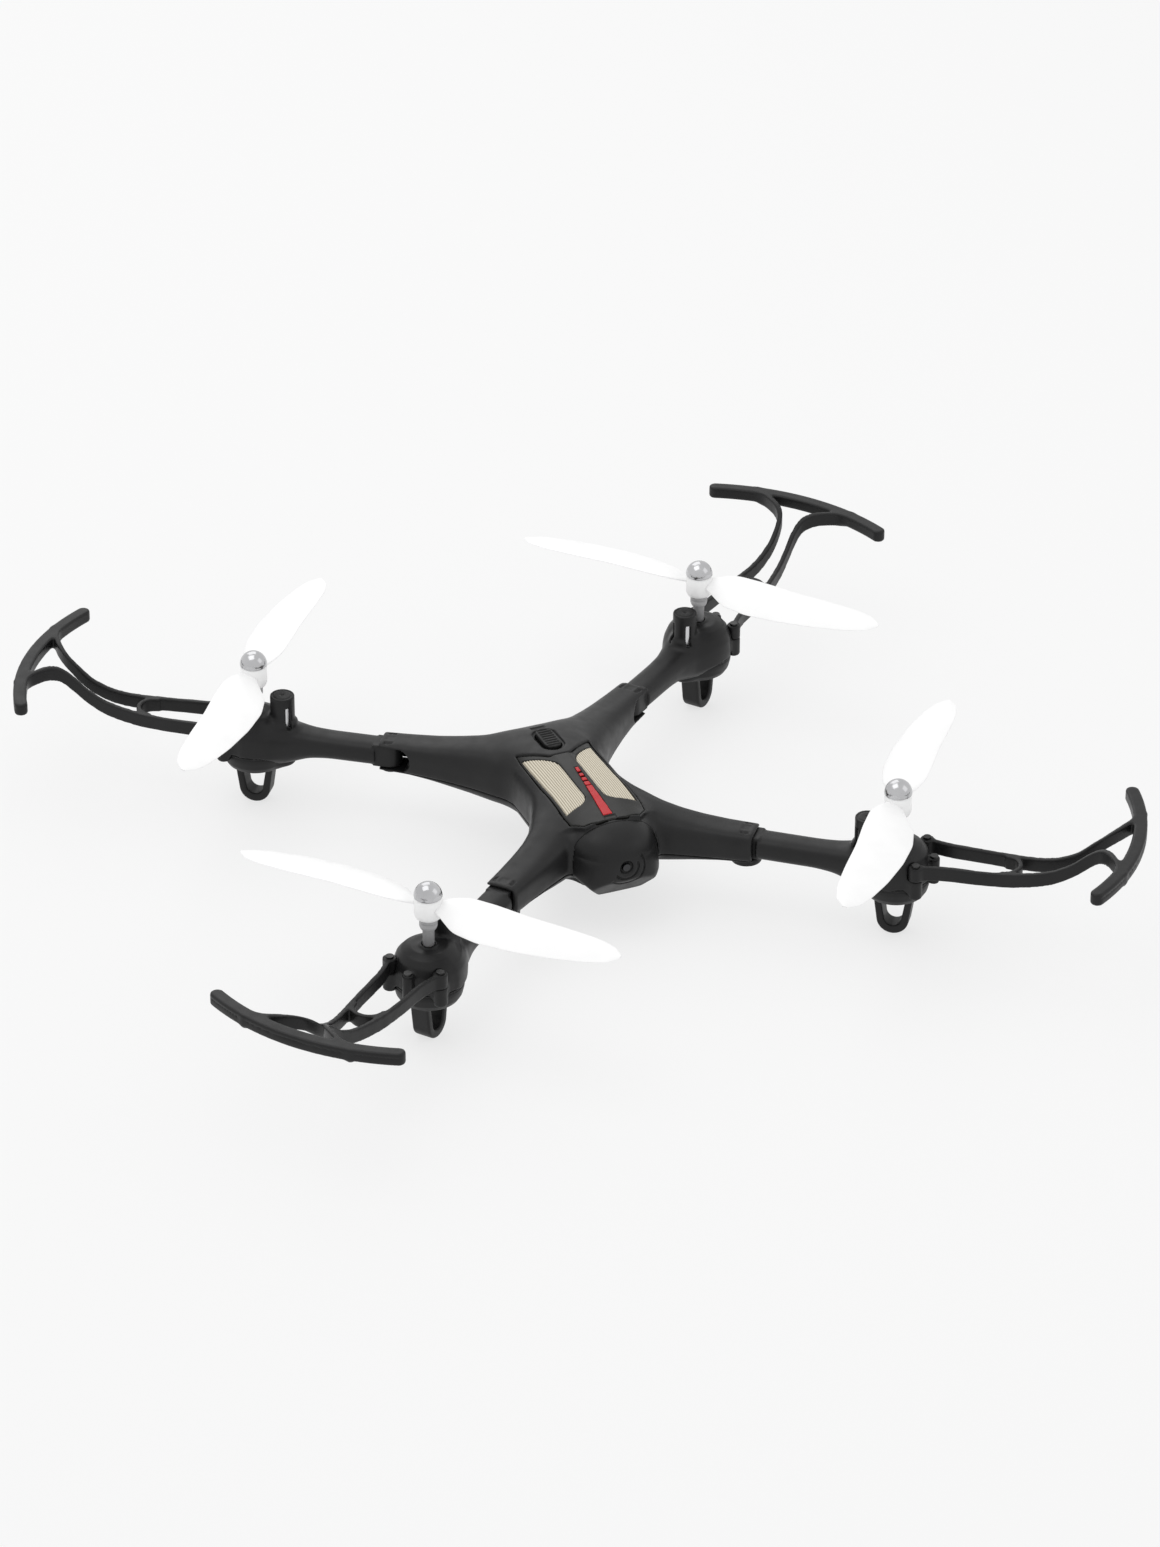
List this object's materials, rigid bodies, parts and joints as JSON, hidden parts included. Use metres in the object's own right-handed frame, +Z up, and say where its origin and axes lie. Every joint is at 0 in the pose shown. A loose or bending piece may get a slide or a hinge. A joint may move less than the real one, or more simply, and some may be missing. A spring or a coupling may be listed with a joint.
{
  "type": "foldable toy quadcopter",
  "caption": "Small black foldable quadcopter with white geared propellers, arc guards on slim rails, looped landing feet, ribbed power button and a nose camera.",
  "frame": {"origin": "middle of the footprint of the open drone, on the ground its feet stand on", "axes": "+X to the drone's side on the viewer's right, -Y towards the nose, +Z up"},
  "size_m": [0.3304, 0.311, 0.0581],
  "materials": {
    "black_shell": "satin, very fine spark-eroded grain",
    "black_gloss": "high gloss",
    "panel_cloth": "ribbed weave",
    "stripe_red": "gloss",
    "button_black": "satin",
    "lens_black": "high gloss",
    "prop_white": "satin",
    "cap_silver": "soft chrome",
    "shaft_grey": "satin",
    "steel": "turned",
    "dark_steel": "blackened",
    "motor_steel": "drawn",
    "brass": "turned",
    "gear_white": "as moulded",
    "board_green": "solder mask",
    "battery_wrap": "shrink film"
  },
  "bodies": {
    "body": {"upper_shell": "black_shell", "lower_shell": "black_shell", "top_fascia": "black_gloss", "mesh_panel_left": "panel_cloth", "mesh_panel_right": "panel_cloth", "stripe_inlay": "stripe_red", "nose_cover": "black_shell", "camera_lens": "lens_black", "camera_module": "lens_black", "power_switch": "steel", "circuit_board": "board_green", "battery": "battery_wrap", "battery_door": "black_shell", "hinge_pins": "steel", "shell_screws": "steel"},
    "button": {"power_button": "button_black"},
    "arm_fl": {"arm_shell_fl": "black_shell", "pod_cup_fl": "black_shell", "motor_fl": "motor_steel", "shaft_bushes_fl": "brass", "guard_fl": "black_shell", "pod_screws_fl": "dark_steel"},
    "rotor_fl": {"main_gear_fl": "gear_white", "rotor_shaft_fl": "shaft_grey", "propeller_fl": "prop_white", "spinner_cap_fl": "cap_silver"},
    "motor_spindle_fl": {"pinion_fl": "brass"},
    "arm_fr": {"arm_shell_fr": "black_shell", "pod_cup_fr": "black_shell", "motor_fr": "motor_steel", "shaft_bushes_fr": "brass", "guard_fr": "black_shell", "pod_screws_fr": "dark_steel"},
    "rotor_fr": {"main_gear_fr": "gear_white", "rotor_shaft_fr": "shaft_grey", "propeller_fr": "prop_white", "spinner_cap_fr": "cap_silver"},
    "motor_spindle_fr": {"pinion_fr": "brass"},
    "arm_rl": {"arm_shell_rl": "black_shell", "pod_cup_rl": "black_shell", "motor_rl": "motor_steel", "shaft_bushes_rl": "brass", "guard_rl": "black_shell", "pod_screws_rl": "dark_steel"},
    "rotor_rl": {"main_gear_rl": "gear_white", "rotor_shaft_rl": "shaft_grey", "propeller_rl": "prop_white", "spinner_cap_rl": "cap_silver"},
    "motor_spindle_rl": {"pinion_rl": "brass"},
    "arm_rr": {"arm_shell_rr": "black_shell", "pod_cup_rr": "black_shell", "motor_rr": "motor_steel", "shaft_bushes_rr": "brass", "guard_rr": "black_shell", "pod_screws_rr": "dark_steel"},
    "rotor_rr": {"main_gear_rr": "gear_white", "rotor_shaft_rr": "shaft_grey", "propeller_rr": "prop_white", "spinner_cap_rr": "cap_silver"},
    "motor_spindle_rr": {"pinion_rr": "brass"}
  },
  "joints": [
    {"name": "power_button_press", "type": "slide", "parent": "body", "child": "button", "axis": [0, 0, -1], "range_m": [0, 0.0008], "stiffness_N_per_m": 400, "springref_m": -0.0005},
    {"name": "fold_fl", "type": "hinge", "parent": "body", "child": "arm_fl", "pos_m": [-0.0441, -0.0488, 0.0251], "axis": [0, 0, 1], "range_deg": [-92, 0]},
    {"name": "rotor_spin_fl", "type": "hinge", "parent": "arm_fl", "child": "rotor_fl", "pos_m": [-0.084, -0.0818, 0.045], "axis": [0, 0, 1], "continuous": true},
    {"name": "pinion_spin_fl", "type": "hinge", "parent": "arm_fl", "child": "motor_spindle_fl", "pos_m": [-0.07599, -0.07572, 0.018], "axis": [0, 0, 1], "continuous": true},
    {"name": "fold_fr", "type": "hinge", "parent": "body", "child": "arm_fr", "pos_m": [0.0441, -0.0488, 0.0251], "axis": [0, 0, 1], "range_deg": [0, 92]},
    {"name": "rotor_spin_fr", "type": "hinge", "parent": "arm_fr", "child": "rotor_fr", "pos_m": [0.084, -0.0818, 0.045], "axis": [0, 0, 1], "continuous": true},
    {"name": "pinion_spin_fr", "type": "hinge", "parent": "arm_fr", "child": "motor_spindle_fr", "pos_m": [0.07599, -0.07572, 0.018], "axis": [0, 0, 1], "continuous": true},
    {"name": "fold_rl", "type": "hinge", "parent": "body", "child": "arm_rl", "pos_m": [-0.0449, 0.0527, 0.0251], "axis": [0, 0, 1], "range_deg": [0, 92]},
    {"name": "rotor_spin_rl", "type": "hinge", "parent": "arm_rl", "child": "rotor_rl", "pos_m": [-0.084, 0.0818, 0.045], "axis": [0, 0, 1], "continuous": true},
    {"name": "pinion_spin_rl", "type": "hinge", "parent": "arm_rl", "child": "motor_spindle_rl", "pos_m": [-0.07599, 0.07572, 0.018], "axis": [0, 0, 1], "continuous": true},
    {"name": "fold_rr", "type": "hinge", "parent": "body", "child": "arm_rr", "pos_m": [0.0449, 0.0527, 0.0251], "axis": [0, 0, 1], "range_deg": [-92, 0]},
    {"name": "rotor_spin_rr", "type": "hinge", "parent": "arm_rr", "child": "rotor_rr", "pos_m": [0.084, 0.0818, 0.045], "axis": [0, 0, 1], "continuous": true},
    {"name": "pinion_spin_rr", "type": "hinge", "parent": "arm_rr", "child": "motor_spindle_rr", "pos_m": [0.07599, 0.07572, 0.018], "axis": [0, 0, 1], "continuous": true}
  ],
  "couplings": [
    {"joint": "pinion_spin_fl", "follows": "rotor_spin_fl", "ratio": -6.4444},
    {"joint": "pinion_spin_fr", "follows": "rotor_spin_fr", "ratio": -6.4444},
    {"joint": "pinion_spin_rl", "follows": "rotor_spin_rl", "ratio": -6.4444},
    {"joint": "pinion_spin_rr", "follows": "rotor_spin_rr", "ratio": -6.4444}
  ]
}
